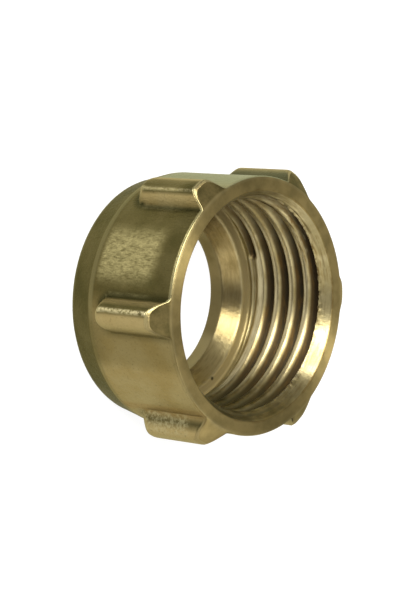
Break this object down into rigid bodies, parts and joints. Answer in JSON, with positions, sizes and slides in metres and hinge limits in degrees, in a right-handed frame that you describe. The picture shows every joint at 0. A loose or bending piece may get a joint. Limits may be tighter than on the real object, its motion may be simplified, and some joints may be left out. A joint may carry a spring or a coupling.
{
  "type": "compression nut",
  "caption": "Round brass compression nut with grip ribs outside, a pipe thread at the mouth, a coned seat inside and a clearance hole for the pipe.",
  "frame": {"origin": "centre of the bounding box's bottom, on the nut's axis in the plane of its flat rear face", "axes": "+Z along the nut's axis, from the rear face to the threaded mouth; +X through the middle of one grip rib"},
  "size_m": [0.0272, 0.024, 0.013],
  "materials": {
    "brass": "forged and tumbled skin outside, turned bore, thread, mouth and rib ends, slightly tarnished"
  },
  "bodies": {
    "root": {"compression_nut": "brass"}
  },
  "joints": []
}
